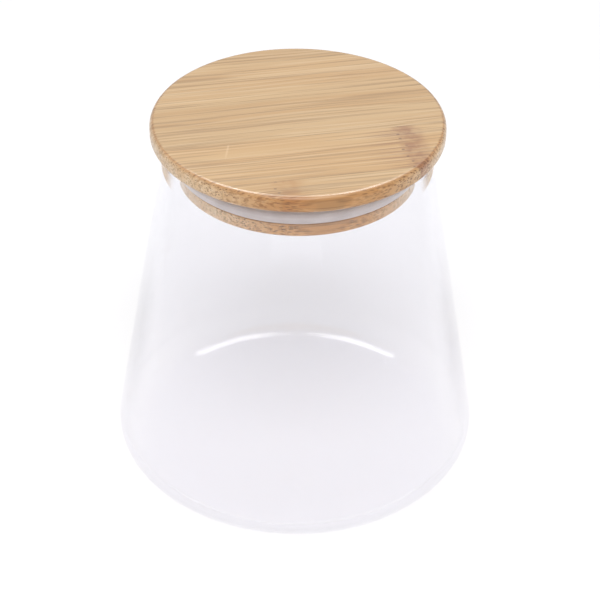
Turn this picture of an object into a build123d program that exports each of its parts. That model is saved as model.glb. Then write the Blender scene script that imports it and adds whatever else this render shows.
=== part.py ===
from build123d import *
import os
from math import acos, atan2, cos, degrees, hypot, sin

# Lidded glass canister, in millimetres.
# +Z is up and z = 0 is the surface it stands on; the origin is under the centre
# of the base; +X runs along the grain of the bamboo lid.

# Driving dimensions: overall.
overall_height = 135.0
lid_radius = 50.0
base_radius = 65.0

# Glass body: a straight cone on a rounded heel, closed by a gently domed floor.
mouth_radius = 44.8         # outside of the wall at the rim
heel_radius = 10.9          # outside rounding between base and wall
inner_heel_radius = 9.0
wall_thickness = 2.0
floor_thickness = 2.6
foot_inner_radius = 46.5    # inside edge of the flat ring that it stands on
dome_height = 0.8           # rise of the floor at its centre

# Lid: one board of three plies of bamboo strips, turned to a disc and a plug.
disc_thickness = 6.2
disc_edge_rounding = 2.0
plug_radius = 40.6
plug_depth = 14.4           # from the underside of the disc to the plug's bottom
flange_thickness = 4.7      # below the seal's groove
flange_rounding = 0.8
groove_root_radius = 38.3
strip_width = 26.0
top_ply_joint = -11.75      # y of one glue line in the top ply
bottom_ply_joint = 1.25     # y of one glue line in the bottom ply
core_ply_joint = 0.0        # x of one glue line in the crosswise ply

# Seal: a silicone ring with two lips, in the groove.
seal_band_thickness = 2.0
lip_radius = 42.6           # with the lips pressed in by the mouth
lip_root_radius = 41.6      # underside of the lower lip
channel_radius = 41.3       # between the lips
lower_lip_share = 0.55      # of the seal's height
lip_undercut = 1.0          # how far each lip starts from the ring's ends
lip_edge_height = 1.1       # of the worn edge that touches the glass
lip_edge_slope = 0.25       # how far that edge leans in at its top
lip_spread = 0.5            # half the channel's height at the lips' edges
seal_corner_rounding = 0.3  # as moulded

# Clearances.
lid_rest_gap = 0.1          # between the glass rim and the disc
seal_side_gap = 0.05        # between the seal and the groove's root
seal_end_gap = 0.1          # between the seal and each side of the groove

# Derived heights.
disc_underside = overall_height - disc_thickness
plug_bottom = disc_underside - plug_depth
flange_top = plug_bottom + flange_thickness
ply_split = plug_bottom + plug_depth / 2
rim_height = disc_underside - lid_rest_gap


def lathe(build_outline, corner_rounding=0.0):
    """Turn a closed outline, drawn as (radius, height), once around the Z axis."""
    with BuildPart() as turned:
        with BuildSketch(Plane.XZ) as section:
            with BuildLine():
                build_outline()
            make_face()
            if corner_rounding > 0:
                fillet(section.vertices(), corner_rounding)
        revolve(axis=Axis.Z)
    return turned.part


def glass_outline():
    """The wall's section. Both faces of the cone share one outward normal, at
    wall_angle above the horizontal, and are tangent to the heel's two arcs."""
    rim_bead = wall_thickness / 2
    heel_centre = Vector(base_radius - heel_radius, heel_radius)
    to_mouth = Vector(mouth_radius, rim_height) - heel_centre
    wall_angle = atan2(to_mouth.Y, to_mouth.X) - acos(heel_radius / hypot(to_mouth.X, to_mouth.Y))
    outward = Vector(cos(wall_angle), sin(wall_angle))

    # The rim is a half circle between the two faces, with its top at rim_height.
    face_offset = outward.dot(heel_centre) + heel_radius
    bead_height = rim_height - rim_bead
    bead_x = (face_offset - rim_bead - outward.Y * bead_height) / outward.X
    bead_centre = Vector(bead_x, bead_height)

    # The inside arc is tangent to the floor and to the inside face.
    inner_y = floor_thickness + inner_heel_radius
    inner_offset = face_offset - wall_thickness - inner_heel_radius
    inner_x = (inner_offset - outward.Y * inner_y) / outward.X
    inner_centre = Vector(inner_x, inner_y)

    turn = 90 + degrees(wall_angle)
    under_floor = TangentArc((0, dome_height), (foot_inner_radius, 0), tangent=(1, 0))
    Line(under_floor @ 1, (heel_centre.X, 0))
    CenterArc(heel_centre, heel_radius, -90, turn)
    Line(heel_centre + outward * heel_radius, bead_centre + outward * rim_bead)
    CenterArc(bead_centre, rim_bead, degrees(wall_angle), 180)
    Line(bead_centre - outward * rim_bead, inner_centre + outward * inner_heel_radius)
    CenterArc(inner_centre, inner_heel_radius, -90, turn)
    floor_edge = Line((inner_centre.X, floor_thickness), (foot_inner_radius, floor_thickness))
    over_floor = TangentArc((0, floor_thickness + dome_height), floor_edge @ 1, tangent=(1, 0))
    Line(over_floor @ 0, under_floor @ 0)


def seal_outline():
    """The ring's section: a band against the groove's root, and two lips that
    lean outwards and up, with a channel between them."""
    inner = groove_root_radius + seal_side_gap
    band = inner + seal_band_thickness
    low = flange_top + seal_end_gap
    high = disc_underside - seal_end_gap
    channel = low + lower_lip_share * (high - low)
    Polyline(
        (inner, low),
        (band, low),
        (lip_root_radius, low + lip_undercut),
        (lip_radius, channel - lip_spread - lip_edge_height),
        (lip_radius - lip_edge_slope, channel - lip_spread),
        (channel_radius, channel),
        (lip_radius, channel + 3 * lip_spread),
        (lip_radius - lip_edge_slope, high - lip_undercut),
        (band + lip_edge_slope, high - lip_undercut / 2),
        (band, high),
        (inner, high),
        close=True,
    )


def lid_outline():
    """The turned board's section: disc, groove and plug in one line."""
    rounding = disc_edge_rounding
    soft = flange_rounding
    upper = Line((0, overall_height), (lid_radius - rounding, overall_height))
    CenterArc((lid_radius - rounding, overall_height - rounding), rounding, 0, 90)
    Line((lid_radius, overall_height - rounding), (lid_radius, disc_underside + rounding))
    CenterArc((lid_radius - rounding, disc_underside + rounding), rounding, -90, 90)
    Polyline(
        (lid_radius - rounding, disc_underside),
        (groove_root_radius, disc_underside),
        (groove_root_radius, flange_top),
        (plug_radius - soft / 2, flange_top),
    )
    CenterArc((plug_radius - soft / 2, flange_top - soft / 2), soft / 2, 0, 90)
    Line((plug_radius, flange_top - soft / 2), (plug_radius, plug_bottom + soft))
    CenterArc((plug_radius - soft, plug_bottom + soft), soft, -90, 90)
    lower = Line((plug_radius - soft, plug_bottom), (0, plug_bottom))
    Line(lower @ 1, upper @ 0)


def strip_edges(joint, radius):
    """Glue lines one strip width apart, from edge to edge of a disc."""
    edges = [joint]
    while edges[0] - strip_width > -radius:
        edges.insert(0, edges[0] - strip_width)
    while edges[-1] + strip_width < radius:
        edges.append(edges[-1] + strip_width)
    return [-radius - 1] + edges + [radius + 1]


def cut_strips(name, board, low, high, joint, radius, crosswise=False):
    """Cut one ply of the board into strips that meet face to face."""
    strips = {}
    edges = strip_edges(joint, radius)
    length = 2 * radius + 4
    for number, (near, far) in enumerate(zip(edges, edges[1:]), start=1):
        width = far - near
        middle = (near + far) / 2
        if crosswise:
            block = Pos(middle, 0, (low + high) / 2) * Box(width, length, high - low)
        else:
            block = Pos(0, middle, (low + high) / 2) * Box(length, width, high - low)
        strips[f"{name}_{number}"] = board & block
    return strips


def build_nodes():
    """Every sub-part by its node name."""
    board = lathe(lid_outline)
    nodes = {
        "glass_body": lathe(glass_outline),
        "seal_ring": lathe(seal_outline, seal_corner_rounding),
    }
    nodes.update(cut_strips("lid_top_strip", board, disc_underside, overall_height,
                            top_ply_joint, lid_radius))
    nodes.update(cut_strips("lid_core_strip", board, ply_split, disc_underside,
                            core_ply_joint, groove_root_radius, crosswise=True))
    nodes.update(cut_strips("lid_plug_strip", board, plug_bottom, ply_split,
                            bottom_ply_joint, plug_radius))
    return nodes


os.makedirs("parts", exist_ok=True)
for node, shape in build_nodes().items():
    shape.label = node
    export_step(shape, f"parts/{node}.step")
    print(node, round(shape.volume, 1), "mm3")
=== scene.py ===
import bmesh
import bpy
import math
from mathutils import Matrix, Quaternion, Vector, noise


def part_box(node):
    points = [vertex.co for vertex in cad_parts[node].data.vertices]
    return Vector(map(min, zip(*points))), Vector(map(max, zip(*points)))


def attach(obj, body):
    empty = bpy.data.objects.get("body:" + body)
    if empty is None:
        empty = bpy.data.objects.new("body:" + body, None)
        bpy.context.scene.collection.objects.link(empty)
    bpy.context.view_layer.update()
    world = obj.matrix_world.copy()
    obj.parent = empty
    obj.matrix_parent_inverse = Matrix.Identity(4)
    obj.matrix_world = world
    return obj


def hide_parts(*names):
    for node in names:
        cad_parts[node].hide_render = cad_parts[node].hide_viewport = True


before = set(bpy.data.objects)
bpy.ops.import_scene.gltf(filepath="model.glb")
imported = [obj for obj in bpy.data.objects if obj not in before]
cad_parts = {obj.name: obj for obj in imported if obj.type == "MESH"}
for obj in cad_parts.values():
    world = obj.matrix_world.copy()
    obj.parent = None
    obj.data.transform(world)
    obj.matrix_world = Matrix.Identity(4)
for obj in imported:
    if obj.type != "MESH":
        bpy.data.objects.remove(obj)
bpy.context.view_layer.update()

MM = 0.001
TURN = 2 * math.pi

# ---------------------------------------------------------------- sizes
# Places come from the frame, in metres; what a box can't tell is named here.
_, glass_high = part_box("glass_body")
seal_low, seal_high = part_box("seal_ring")
disc_low, disc_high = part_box("lid_top_strip_3")
_, core_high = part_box("lid_core_strip_2")
plug_low, plug_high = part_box("lid_plug_strip_2")

base_radius = glass_high.x
rim_height = glass_high.z
mouth_radius = 44.8 * MM
heel_radius = 10.9 * MM
inner_heel_radius = 9.0 * MM
wall_thickness = 2.0 * MM
floor_thickness = 2.6 * MM
foot_inner_radius = 46.5 * MM
dome_height = 0.8 * MM

lid_radius = disc_high.x
disc_top = disc_high.z
disc_underside = disc_low.z
groove_root_radius = core_high.y
plug_radius = plug_high.x
plug_bottom = plug_low.z
ply_split = plug_high.z
flange_thickness = 4.7 * MM
flange_top = plug_bottom + flange_thickness
disc_edge_rounding = 2.0 * MM
flange_rounding = 0.8 * MM

seal_side_gap = 0.05 * MM
seal_band_thickness = 2.0 * MM
lower_lip_share = 0.55      # of the seal's height
lip_undercut = 1.0 * MM
lip_edge_height = 1.1 * MM
lip_edge_slope = 0.25 * MM
lip_spread = 0.5 * MM
lip_channel_depth = 1.3 * MM
seal_corner_rounding = 0.4 * MM

# How finely the turned pieces are drawn.
GLASS_SEGMENTS, SEAL_SEGMENTS, LID_SEGMENTS = 512, 256, 288
HEEL_STEPS, WALL_STEPS, DOME_STEPS, BEAD_STEPS = 40, 24, 14, 16

# The waviness of the inside of the glass.
WAVE_HEIGHT = 0.04 * MM
WAVES_AROUND, WAVES_PER_METRE = 2.2, 18


# ---------------------------------------------------------------- meshes
def arc(centre_r, centre_z, radius, start, end, steps):
    """Points on an arc in the (radius, height) plane, angles in degrees."""
    angles = [math.radians(start + (end - start) * i / steps) for i in range(steps + 1)]
    return [(centre_r + radius * math.cos(a), centre_z + radius * math.sin(a)) for a in angles]


def run(start, end, steps):
    """Evenly spaced points on a straight stretch, without its two ends."""
    return [(start[0] + (end[0] - start[0]) * i / steps,
             start[1] + (end[1] - start[1]) * i / steps) for i in range(1, steps)]


def lathe(outline, segments, closed=False, shift=None):
    """A bmesh of revolution. A point on the axis becomes a pole, and shift moves
    a point outwards by what it gives for the outline's index, angle and height."""
    bm = bmesh.new()
    rings = []
    for index, (radius, height) in enumerate(outline):
        if radius < 1e-7:
            rings.append([bm.verts.new((0, 0, height))])
            continue
        ring = []
        for i in range(segments):
            angle = TURN * i / segments
            r = radius + (shift(index, angle, height) if shift else 0.0)
            ring.append(bm.verts.new((r * math.cos(angle), r * math.sin(angle), height)))
        rings.append(ring)
    pairs = list(zip(rings, rings[1:]))
    if closed:
        pairs.append((rings[-1], rings[0]))
    for a, b in pairs:
        for i in range(segments):
            j = (i + 1) % segments
            corners = [a[i % len(a)], a[j % len(a)], b[j % len(b)], b[i % len(b)]]
            bm.faces.new(list(dict.fromkeys(corners)))
    bmesh.ops.recalc_face_normals(bm, faces=bm.faces)
    return bm


def as_piece(bm, name, material, body, node, sharp_angle=35):
    """Turn a bmesh into a named piece that stands for a CAD node and rides on its body."""
    mesh = bpy.data.meshes.new(name)
    bm.to_mesh(mesh)
    bm.free()
    mesh.polygons.foreach_set("use_smooth", [True] * len(mesh.polygons))
    mesh.set_sharp_from_angle(angle=math.radians(sharp_angle))
    mesh.materials.append(material)
    piece = bpy.data.objects.new(name, mesh)
    bpy.context.scene.collection.objects.link(piece)
    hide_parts(node)
    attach(piece, body)
    return piece


# ---------------------------------------------------------------- materials
class Shader:
    """Short-hand for building one material's node tree."""

    def __init__(self, name):
        self.material = bpy.data.materials.new(name)
        self.material.use_nodes = True
        self.tree = self.material.node_tree
        self.tree.nodes.clear()
        self.output = self.tree.nodes.new("ShaderNodeOutputMaterial")

    def feed(self, socket, value):
        if isinstance(value, bpy.types.NodeSocket):
            self.tree.links.new(value, socket)
        else:
            socket.default_value = value

    def add(self, kind, inputs=(), **settings):
        node = self.tree.nodes.new("ShaderNode" + kind)
        for key, value in settings.items():
            setattr(node, key, value)
        for key, value in dict(inputs).items():
            self.feed(node.inputs[key], value)
        return node

    def math(self, operation, a, b=0.0, clamp=False):
        node = self.add("Math", {0: a, 1: b}, operation=operation, use_clamp=clamp)
        return node.outputs[0]

    def more(self, value, times, plus):
        """value x times + plus."""
        return self.add("Math", {0: value, 1: times, 2: plus}, operation="MULTIPLY_ADD").outputs[0]

    def vector(self, operation, a, b):
        return self.add("VectorMath", {0: a, 1: b}, operation=operation).outputs[0]

    def band(self, value, low, high, start=0.0, end=1.0):
        """start below low, end above high, and a smooth step between them."""
        inputs = {"Value": value, "From Min": low, "From Max": high,
                  "To Min": start, "To Max": end}
        node = self.add("MapRange", inputs, interpolation_type="SMOOTHSTEP")
        return node.outputs["Result"]

    def mix(self, factor, a, b, blend="MIX"):
        node = self.tree.nodes.new("ShaderNodeMix")
        node.data_type = "RGBA"
        node.blend_type = blend
        self.feed(node.inputs["Factor"], factor)
        self.feed(node.inputs["A"], a)
        self.feed(node.inputs["B"], b)
        return node.outputs["Result"]

    def noise(self, vector, detail=2.0, roughness=0.5, scale=1.0):
        inputs = {"Vector": vector, "Scale": scale, "Detail": detail, "Roughness": roughness}
        return self.add("TexNoise", inputs)

    def finish(self, surface):
        self.feed(self.output.inputs["Surface"], surface)
        return self.material


def tinted(colour, factor):
    return tuple(c * factor for c in colour) + (1.0,)


BAMBOO_PALE = (0.584, 0.390, 0.193)
BAMBOO_WARM = (0.541, 0.332, 0.146)
BAMBOO_LINE = (0.28, 0.155, 0.058)
BAMBOO_LIGHT = (0.70, 0.515, 0.305)
BAMBOO_FIBRE = (0.155, 0.066, 0.018)
# What the ground's colour is multiplied by: on the rim, and in a knuckle's stain. The rim's darker
# side-grain tint is partly the wood's own colour and partly painted shade; its paler, greyer
# end-grain tint is painted sheen.
RIM_ALONG_WITH_SHADE = (0.81, 0.64, 0.465)
RIM_ACROSS_WITH_SHEEN = (1.06, 1.16, 1.44)
KNUCKLE_STAIN = (0.66, 0.53, 0.52)
KNUCKLE_SHADE = (0.80, 0.62, 0.44)
KNUCKLE_PORE = (0.13, 0.065, 0.035)
PORE_PITCH = 3.6                        # mm from one pore of a knuckle to the next
PORE_ALONG, PORE_ACROSS = 0.52, 0.42    # mm from a pore's middle to its edge


def grain_noise(s, place, along, across, detail=2.0, roughness=0.5):
    """Noise drawn out along the grain, with both of its rates per mm."""
    rates = (along, across, across)
    return s.noise(s.vector("MULTIPLY", place, rates), detail=detail, roughness=roughness)


def ground_tissue(s, bent, tone_and_painted_light):
    """Broad bands, a few pale lines and fine dark ones. Gives the colour, the dark
    lines and the noise that they come from."""
    broad = s.band(grain_noise(s, bent, 0.007, 0.17).outputs["Fac"], 0.34, 0.66)
    ground = s.mix(broad, tinted(BAMBOO_PALE, tone_and_painted_light), tinted(BAMBOO_WARM, tone_and_painted_light))
    fine = grain_noise(s, bent, 0.013, 1.05, roughness=0.6).outputs["Fac"]
    lines = s.band(fine, 0.50, 0.62)
    pale = grain_noise(s, bent, 0.012, 0.80, roughness=0.6).outputs["Fac"]
    pale = s.band(pale, 0.53, 0.64)
    ground = s.mix(s.math("MULTIPLY", pale, 0.40), ground, tinted(BAMBOO_LIGHT, tone_and_painted_light))
    ground = s.mix(s.math("MULTIPLY", lines, 0.50), ground, tinted(BAMBOO_LINE, tone_and_painted_light))
    return ground, lines, fine


def fibre_bundles(s, bent):
    """Where the bundles are: long cells, some of them darker than others."""
    cells = s.add("TexVoronoi", {"Vector": s.vector("MULTIPLY", bent, (0.012, 1.45, 1.45)),
                                 "Scale": 1.0, "Randomness": 0.8})
    bundle = s.band(cells.outputs["Distance"], 0.16, 0.46, 1.0, 0.0)
    lot = s.add("SeparateColor", {"Color": cells.outputs["Color"]}).outputs[0]
    return s.math("MULTIPLY", bundle, s.band(lot, 0.05, 0.8, 0.45, 1.0))


def knuckle_stain(s, place, spot_x, fine, centre, spread):
    """A blotchy stain on one side of a knuckle and short streaks that fade on the
    other. Also gives the stretch where the bundles are denser."""
    waver = grain_noise(s, place, 0.02, 0.22)
    x = s.math("ADD", s.math("SUBTRACT", spot_x, centre), s.more(waver.outputs["Fac"], 6.0, -3.0))
    blotch = grain_noise(s, place, 0.20, 0.20, detail=3.0)
    blotch = s.band(blotch.outputs["Fac"], 0.34, 0.58, 0.40, 1.0)
    ridge = s.math("MULTIPLY", s.band(x, -3.0, 2.0), s.band(x, 3.5, spread, 1.0, 0.0))
    fade = s.math("MULTIPLY", s.band(x, -1.5 * spread, -1.0), s.band(x, 0.0, 4.0, 1.0, 0.0))
    streaky = s.math("MULTIPLY", fade, s.band(fine, 0.44, 0.60, 0.05, 0.65))
    stain = s.math("MAXIMUM", s.math("MULTIPLY", ridge, blotch), streaky)
    near = s.math("MULTIPLY", s.band(x, -3.0, 2.0), s.band(x, 5.0, 9.0, 1.0, 0.0))
    return stain, near


def knuckle_pores(s, spot_x, spot_y, seed, centre, strength):
    """One pore in each pitch across the strip, a little out of line."""
    row = s.math("DIVIDE", spot_y, PORE_PITCH)
    chance = s.add("TexWhiteNoise", {"W": s.math("ADD", s.math("FLOOR", row), seed + 0.37)},
                   noise_dimensions="1D")
    chance = s.add("SeparateColor", {"Color": chance.outputs["Color"]})
    px = s.math("SUBTRACT", spot_x, s.more(chance.outputs[0], 1.8, centre - 0.9))
    py = s.math("SUBTRACT", s.math("FRACT", row), s.more(chance.outputs[1], 0.5, 0.25))
    px = s.math("DIVIDE", px, PORE_ALONG)
    py = s.math("DIVIDE", py, PORE_ACROSS / PORE_PITCH)
    reach = s.math("ADD", s.math("MULTIPLY", px, px), s.math("MULTIPLY", py, py))
    return s.math("MULTIPLY", s.band(reach, 0.3, 1.7, 0.65 * strength, 0.0),
                  s.band(chance.outputs[2], 0.1, 0.5, 0.45, 1.0))


def glue_line(s, place, spot_y, joint):
    """Glue shows as a hair line, more in some places than in others."""
    gap = s.math("ABSOLUTE", s.math("SUBTRACT", spot_y, joint))
    patchy = s.noise(s.vector("MULTIPLY", place, (0.045, 0.0, 0.0)), detail=1.0)
    return s.math("MULTIPLY", s.band(gap, 0.08, 0.34, 1.0, 0.0),
                  s.band(patchy.outputs["Fac"], 0.42, 0.62, 0.06, 0.55))


def pale_scratch(s, spot_x, spot_y):
    """A short scratch, nearly straight across the grain."""
    aside = s.math("SUBTRACT", spot_x, s.more(spot_y, 0.30, -22.25))
    ends = s.math("MULTIPLY", s.band(spot_y, -22.5, -17.5), s.band(spot_y, -14.0, -12.0, 1.0, 0.0))
    return s.math("MULTIPLY", s.band(s.math("ABSOLUTE", aside), 0.12, 0.48, 0.34, 0.0), ends)


def bamboo(name, seed, tone_and_painted_light=1.0, crosswise=False, knuckle=None, joints=(), scratch=False):
    """Flat-laid bamboo: long fibre bundles in paler tissue. The pattern is solid,
    so a face across the grain shows their ends and any other face their lengths.
    A knuckle is (distance along the grain in mm, strength, how far it spreads in mm,
    stain), and joints are the places of the strip's glue lines in mm."""
    s = Shader(name)
    coordinates = s.add("TexCoord")
    turned = (0, 0, math.pi / 2 if crosswise else 0)
    in_mm = s.add("Mapping", {"Vector": coordinates.outputs["Object"],
                              "Rotation": turned, "Scale": (1000, 1000, 1000)}).outputs[0]
    facing = s.add("Mapping", {"Vector": coordinates.outputs["Normal"],
                               "Rotation": turned}).outputs[0]
    place = s.vector("ADD", in_mm, (137.0 * seed, 41.0 * seed, 17.0 * seed))
    spot = s.add("SeparateXYZ", {"Vector": in_mm})
    spot_x, spot_y = spot.outputs["X"], spot.outputs["Y"]

    # The fibres wander by about a millimetre over the length of the board.
    drift = grain_noise(s, place, 0.011, 0.05, detail=1.0)
    drift = s.vector("SUBTRACT", drift.outputs["Color"], (0.5, 0.5, 0.5))
    bent = s.vector("ADD", place, s.vector("MULTIPLY", drift, (0.0, 2.6, 2.6)))

    normal = s.add("SeparateXYZ", {"Vector": facing})
    end_on = s.math("ABSOLUTE", normal.outputs["X"])
    upright = s.math("SUBTRACT", 1.0, s.math("ABSOLUTE", normal.outputs["Z"]))
    rim = s.band(upright, 0.01, 0.12)

    # The bundles are faint streaks on a flat face and specks where they are cut across.
    ground, lines, fine = ground_tissue(s, bent, tone_and_painted_light)
    bundle = fibre_bundles(s, bent)
    specks = s.math("MULTIPLY", s.band(end_on, 0.06, 0.35), s.band(end_on, 0.70, 0.98, 1.0, 0.35))
    show = s.more(specks, 0.50, s.more(rim, 0.24, 0.14))
    if knuckle:
        centre, strength, spread, stain_colour = knuckle
        stain, near = knuckle_stain(s, place, spot_x, fine, centre, spread)
        ground = s.mix(s.math("MULTIPLY", stain, strength), ground,
                       tinted(stain_colour, 1.0), "MULTIPLY")
        show = s.math("ADD", show, s.math("MULTIPLY", near, s.more(rim, 0.45, 0.03)))
    # On the rim, side-grain faces get a darker, warmer tint, partly their own colour and partly
    # painted shade, and end-grain faces a paler, greyer tint that is painted sheen.
    side = s.mix(s.band(end_on, 0.30, 0.90), tinted(RIM_ALONG_WITH_SHADE, 1.0), tinted(RIM_ACROSS_WITH_SHEEN, 1.0))
    colour = s.mix(rim, ground, s.mix(1.0, ground, side, "MULTIPLY"))
    colour = s.mix(s.math("MULTIPLY", bundle, show, clamp=True), colour,
                   tinted(BAMBOO_FIBRE, 1.0))
    if knuckle:
        pore = knuckle_pores(s, spot_x, spot_y, seed, centre, strength)
        pore = s.math("MULTIPLY", pore, s.math("SUBTRACT", 1.0, rim))
        colour = s.mix(pore, colour, tinted(KNUCKLE_PORE, 1.0))
    for joint in joints:
        glue = glue_line(s, place, spot_y, joint)
        colour = s.mix(glue, colour, tinted(BAMBOO_LINE, 0.62))
    if scratch:
        colour = s.mix(pale_scratch(s, spot_x, spot_y), colour, tinted(BAMBOO_LIGHT, 1.12))

    relief = s.math("ADD", s.math("MULTIPLY", bundle, show), s.math("MULTIPLY", lines, 0.25))
    bump = s.add("Bump", {"Height": relief, "Strength": 0.6, "Distance": 0.06 * MM}, invert=True)
    gloss = s.band(lines, 0.0, 1.0, 0.36, 0.48)
    skin = s.add("BsdfPrincipled", {"Base Color": colour, "Roughness": gloss,
                                    "Normal": bump.outputs[0],
                                    "Coat Weight": 0.3, "Coat Roughness": 0.22})
    return s.finish(skin.outputs[0])


# A grey, cool tint that paints the shade of a darker backdrop seen through the glass.
GLASS_TINT_PAINTED_SHADE = (0.95, 0.947, 0.965, 1.0)
LIGHT_TINT = (0.980, 0.980, 0.986, 1.0)
GLASS_IOR = 1.47
# Layer Weight's Facing inside the wall: total reflection starts at 0.267.
NEARLY_TRAPPED, WHOLLY_TRAPPED = 0.225, 0.268


def clear_glass():
    """Clear borosilicate with a faint cool cast and hardly visible haze from handling. The cast
    paints the shade of a darker backdrop seen through the glass.
    """
    s = Shader("clear_glass")
    place = s.add("TexCoord").outputs["Object"]
    smear = s.noise(s.vector("MULTIPLY", place, (45, 45, 30)), detail=4.0, roughness=0.6)
    haze = s.band(smear.outputs["Fac"], 0.45, 0.75, 0.0, 0.035)
    solid = s.add("BsdfPrincipled", {"Base Color": GLASS_TINT_PAINTED_SHADE, "Roughness": haze, "IOR": GLASS_IOR,
                                     "Transmission Weight": 1.0})
    # Rays that leave the wall close to the angle of total reflection, or past it, go
    # straight on. Trapped in the wall, they would make the heel and the outline black.
    open_ = s.add("BsdfTransparent", {"Color": LIGHT_TINT})
    facing = s.add("LayerWeight").outputs["Facing"]
    leaving = s.add("NewGeometry").outputs["Backfacing"]
    trapped = s.math("MULTIPLY", leaving, s.band(facing, NEARLY_TRAPPED, WHOLLY_TRAPPED))
    glass = s.add("MixShader", {0: trapped, 1: solid.outputs[0], 2: open_.outputs[0]})
    # Light passes through it to the floor and the lid instead of leaving black shadows.
    path = s.add("LightPath")
    for kind in ("Is Shadow Ray", "Is Diffuse Ray"):
        glass = s.add("MixShader", {0: path.outputs[kind], 1: glass.outputs[0],
                                    2: open_.outputs[0]})
    return s.finish(glass.outputs[0])


def silicone():
    """Translucent white silicone, satin, with faint cloudiness and a fine moulded skin. Its colour
    is greyed, and darkened further to paint the shade that the lid's overhang casts on it.
    """
    s = Shader("silicone")
    place = s.add("TexCoord").outputs["Object"]
    cloud = s.noise(s.vector("MULTIPLY", place, (160, 160, 320)), detail=3.0)
    cloud = s.band(cloud.outputs["Fac"], 0.3, 0.7)
    # Greyed and darkened, these colours paint the shade under the lid's overhang.
    colour = s.mix(cloud, (0.505, 0.44, 0.415, 1.0), (0.575, 0.51, 0.485, 1.0))
    skin = s.noise(place, scale=2600.0, detail=2.0)
    bump = s.add("Bump", {"Height": skin.outputs["Fac"], "Strength": 0.2, "Distance": 0.05 * MM})
    body = s.add("BsdfPrincipled", {"Base Color": colour, "Roughness": 0.38, "IOR": 1.42,
                                    "Subsurface Weight": 0.35, "Subsurface Scale": 2.0 * MM,
                                    "Subsurface Radius": (1.0, 0.9, 0.9),
                                    "Normal": bump.outputs[0]})
    return s.finish(body.outputs[0])


# ---------------------------------------------------------------- glass body
def glass_body():
    """The wall's section as in the frame, with the slight waviness of blown glass inside."""
    heel = Vector((base_radius - heel_radius, heel_radius))
    to_mouth = Vector((mouth_radius, rim_height)) - heel
    lean = math.atan2(to_mouth.y, to_mouth.x) - math.acos(heel_radius / to_mouth.length)
    outward = Vector((math.cos(lean), math.sin(lean)))
    bead = wall_thickness / 2
    face = outward.dot(heel) + heel_radius
    bead_z = rim_height - bead
    bead_r = (face - bead - outward.y * bead_z) / outward.x
    inner_z = floor_thickness + inner_heel_radius
    inner_r = (face - wall_thickness - inner_heel_radius - outward.y * inner_z) / outward.x
    degrees = math.degrees(lean)

    def dome(height):
        """The floor's shallow dome, from its edge in to the axis."""
        radii = [foot_inner_radius * (1 - i / DOME_STEPS) for i in range(DOME_STEPS + 1)]
        return [(r, height + dome_height * (1 - (r / foot_inner_radius) ** 2)) for r in radii]

    under = dome(0.0)[::-1]
    heel_arc = arc(heel.x, heel.y, heel_radius, -90, degrees, HEEL_STEPS)
    rim = arc(bead_r, bead_z, bead, degrees, degrees + 180, BEAD_STEPS)
    inner_heel = arc(inner_r, inner_z, inner_heel_radius, degrees, -90, HEEL_STEPS)
    over = dome(floor_thickness)
    outline = under + heel_arc + run(heel_arc[-1], rim[0], WALL_STEPS) + rim
    first_inside = len(outline)
    outline += run(rim[-1], inner_heel[0], WALL_STEPS) + inner_heel + over
    last_inside = len(outline) - len(over)

    def waviness(index, angle, height):
        if not first_inside <= index < last_inside:
            return 0.0
        where = Vector((WAVES_AROUND * math.cos(angle), WAVES_AROUND * math.sin(angle),
                        WAVES_PER_METRE * height))
        return WAVE_HEIGHT * noise.noise(where)

    bm = lathe(outline, GLASS_SEGMENTS, shift=waviness)
    return as_piece(bm, "glass_canister", clear_glass(), "jar", "glass_body", 60)


# ---------------------------------------------------------------- seal
def rounded(outline, radius, steps=5):
    """A closed outline with each corner replaced by a small arc-like curve."""
    points = []
    for before, corner, after in zip(outline[-1:] + outline, outline, outline[1:] + outline[:1]):
        corner = Vector(corner)
        reach_in = min(radius, (Vector(before) - corner).length * 0.45)
        reach_out = min(radius, (Vector(after) - corner).length * 0.45)
        start = corner + (Vector(before) - corner).normalized() * reach_in
        end = corner + (Vector(after) - corner).normalized() * reach_out
        for i in range(steps + 1):
            t = i / steps
            point = start * (1 - t) ** 2 + corner * 2 * t * (1 - t) + end * t ** 2
            points.append((point.x, point.y))
    return points


def seal():
    """A band against the groove's root and two lips with a channel between them."""
    inner = groove_root_radius + seal_side_gap
    band = inner + seal_band_thickness
    low, high = seal_low.z, seal_high.z
    lip = seal_high.x
    channel = low + lower_lip_share * (high - low)
    outline = [
        (inner, low),
        (band, low),
        (lip - lip_undercut, low + lip_undercut),
        (lip, channel - lip_spread - lip_edge_height),
        (lip - lip_edge_slope, channel - lip_spread),
        (lip - lip_channel_depth, channel),
        (lip, channel + 3 * lip_spread),
        (lip - lip_edge_slope, high - lip_undercut),
        (band + lip_edge_slope, high - lip_undercut / 2),
        (band, high),
        (inner, high),
    ]
    bm = lathe(rounded(outline, seal_corner_rounding), SEAL_SEGMENTS, closed=True)
    return as_piece(bm, "silicone_seal", silicone(), "seal", "seal_ring", 80)


# ---------------------------------------------------------------- bamboo lid
def disc_outline():
    r, edge = lid_radius, disc_edge_rounding
    lower = arc(r - edge, disc_underside + edge, edge, -90, 0, 8)
    upper = arc(r - edge, disc_top - edge, edge, 0, 90, 8)
    return [(0, disc_underside)] + lower + upper + [(0, disc_top)]


def core_outline():
    r = groove_root_radius
    return [(0, ply_split), (r, ply_split), (r, disc_underside), (0, disc_underside)]


def plug_outline():
    r, soft = plug_radius, flange_rounding
    bottom = arc(r - soft, plug_bottom + soft, soft, -90, 0, 6)
    top = arc(r - soft / 2, flange_top - soft / 2, soft / 2, 0, 90, 5)
    root = [(groove_root_radius, flange_top), (groove_root_radius, ply_split)]
    return [(0, plug_bottom)] + bottom + top + root + [(0, ply_split)]


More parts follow.
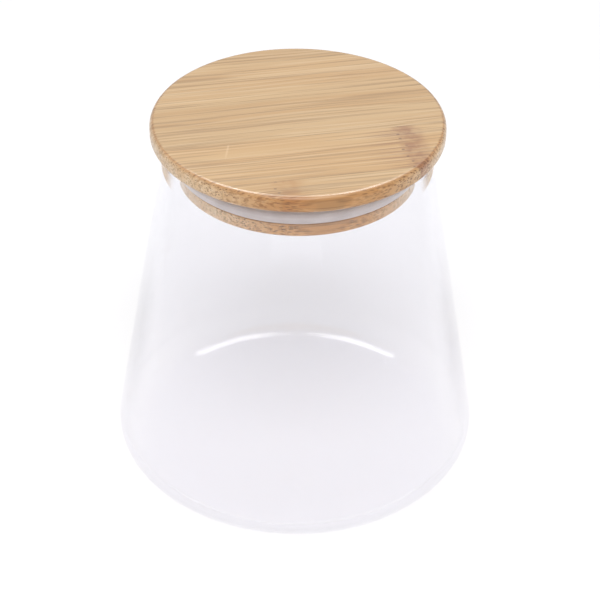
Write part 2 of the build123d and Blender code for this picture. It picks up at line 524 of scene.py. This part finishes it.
def cut_strip(outline, low, high, axis):
    """The part of a turned ply between two glue lines, closed where it is cut."""
    bm = lathe(outline, LID_SEGMENTS)
    radius = max(r for r, _ in outline)
    for bound, side in ((low[axis], -1), (high[axis], 1)):
        if abs(bound) > radius - 0.5 * MM:      # the board's own edge, not a glue line
            continue
        place = Vector((0, 0, 0))
        place[axis] = bound
        way = Vector((0, 0, 0))
        way[axis] = side
        everything = bm.verts[:] + bm.edges[:] + bm.faces[:]
        bmesh.ops.bisect_plane(bm, geom=everything, plane_co=place, plane_no=way,
                               clear_outer=True, dist=1e-7)
        open_edges = [e for e in bm.edges if e.is_boundary]
        bmesh.ops.holes_fill(bm, edges=open_edges, sides=0)
    bmesh.ops.recalc_face_normals(bm, faces=bm.faces)
    return bm


# For each strip: its tone, and a knuckle (mm along the grain, strength, spread in mm, stain). The
# plug strips' higher tones paint light on the plug, which sits in shade under the disc and behind
# the glass.
STRIP_LOOKS = {
    "lid_top_strip_1": (0.99, (-16.0, 0.8, 12.0, KNUCKLE_SHADE)),
    "lid_top_strip_2": (1.03, (30.6, 1.0, 10.0, KNUCKLE_STAIN)),
    "lid_top_strip_3": (0.98, None),
    "lid_top_strip_4": (1.01, None),
    "lid_top_strip_5": (0.96, None),
    "lid_plug_strip_1": (1.24, None),
    "lid_plug_strip_2": (1.20, (-12.0, 0.9, 7.0, KNUCKLE_SHADE)),
    "lid_plug_strip_3": (1.26, (24.0, 0.8, 7.0, KNUCKLE_STAIN)),
    "lid_plug_strip_4": (1.22, None),
}
PLIES = (
    ("lid_top_strip", disc_outline(), 1),
    ("lid_core_strip", core_outline(), 0),
    ("lid_plug_strip", plug_outline(), 1),
)


def lid():
    for prefix, outline, axis in PLIES:
        for node in sorted(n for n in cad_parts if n.startswith(prefix)):
            low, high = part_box(node)
            tone_and_painted_light, knuckle = STRIP_LOOKS.get(node, (1.0, None))
            number = int(node.split("_")[-1])
            seed = number + 10 * len(prefix) + 3 * axis
            joints = [bound[axis] / MM for bound in (low, high)]
            wood = bamboo("bamboo_" + node, seed, tone_and_painted_light, axis == 0, knuckle,
                          joints if prefix == "lid_top_strip" else (),
                          scratch=node == "lid_top_strip_2")
            bm = cut_strip(outline, low, high, axis)
            as_piece(bm, node.replace("lid_", "bamboo_"), wood, "lid", node)


# ---------------------------------------------------------------- stage
FLOOR_RADIUS = 4.0
FLOOR_DROP = 0.05 * MM      # so that it shares no plane with the foot of the glass


def floor():
    s = Shader("pale_floor")
    skin = s.add("BsdfPrincipled", {"Base Color": (0.93, 0.93, 0.935, 1.0), "Roughness": 0.9})
    bm = lathe([(0, 0), (FLOOR_RADIUS, 0)], 96)
    mesh = bpy.data.meshes.new("floor")
    bm.to_mesh(mesh)
    bm.free()
    mesh.materials.append(s.finish(skin.outputs[0]))
    plane = bpy.data.objects.new("floor", mesh)
    bpy.context.scene.collection.objects.link(plane)
    plane.location.z = -FLOOR_DROP


def direction(azimuth, elevation):
    """Outwards from the canister; azimuth 0 is in front of it, and 90 is at +X."""
    a, e = math.radians(azimuth), math.radians(elevation)
    return Vector((math.sin(a) * math.cos(e), -math.cos(a) * math.cos(e), math.sin(e)))


def softbox(name, azimuth, elevation, distance, size, power, only_gleam=False):
    """An area light that faces the canister. One that only gleams shows in glass
    and gloss but adds no light of its own to other surfaces."""
    away = direction(azimuth, elevation)
    light = bpy.data.lights.new(name, "AREA")
    light.shape = "RECTANGLE"
    light.size, light.size_y = size
    light.energy = power
    lamp = bpy.data.objects.new(name, light)
    lamp.location = Vector((0, 0, 0.05)) + distance * away
    lamp.rotation_mode = "QUATERNION"
    lamp.rotation_quaternion = away.to_track_quat("Z", "Y")
    lamp.visible_diffuse = not only_gleam
    bpy.context.scene.collection.objects.link(lamp)


CAMERA_AZIMUTH = -12.3
CAMERA_ELEVATION = 35.7
CAMERA_DISTANCE = 0.711
CAMERA_LENS, SENSOR_WIDTH = 119.0, 36.0     # mm
CAMERA_ROLL = 0.71
AIM_HEIGHT = 59.6 * MM
AIM_ASIDE = 1.4 * MM


def camera():
    away = direction(CAMERA_AZIMUTH, CAMERA_ELEVATION)
    right = direction(CAMERA_AZIMUTH + 90, 0)
    lens = bpy.data.cameras.new("camera")
    lens.lens = CAMERA_LENS
    lens.sensor_width = SENSOR_WIDTH
    lens.clip_start = 0.02
    view = bpy.data.objects.new("camera", lens)
    view.location = Vector((0, 0, AIM_HEIGHT)) + AIM_ASIDE * right + CAMERA_DISTANCE * away
    view.rotation_mode = "QUATERNION"
    roll = Quaternion((0, 0, 1), math.radians(CAMERA_ROLL))
    view.rotation_quaternion = away.to_track_quat("Z", "Y") @ roll
    bpy.context.scene.collection.objects.link(view)
    bpy.context.scene.camera = view


# The pale walls of the studio all around.
SKY_COLOUR = (0.985, 0.985, 1.0, 1.0)
SKY_STRENGTH = 0.89


def studio():
    scene = bpy.context.scene
    scene.view_settings.view_transform = "Standard"
    world = bpy.data.worlds.new("studio")
    world.use_nodes = True
    sky = world.node_tree.nodes["Background"]
    sky.inputs["Color"].default_value = SKY_COLOUR
    sky.inputs["Strength"].default_value = SKY_STRENGTH
    scene.world = world
    floor()
    softbox("softbox_front", CAMERA_AZIMUTH, 61, 1.6, (0.8, 0.65), 9.1)
    for name, side in (("strip_left", -1), ("strip_right", 1)):
        softbox(name, CAMERA_AZIMUTH + 139 * side, 68, 1.1, (0.42, 0.34), 7.0, only_gleam=True)
    camera()


glass_body()
seal()
lid()
studio()
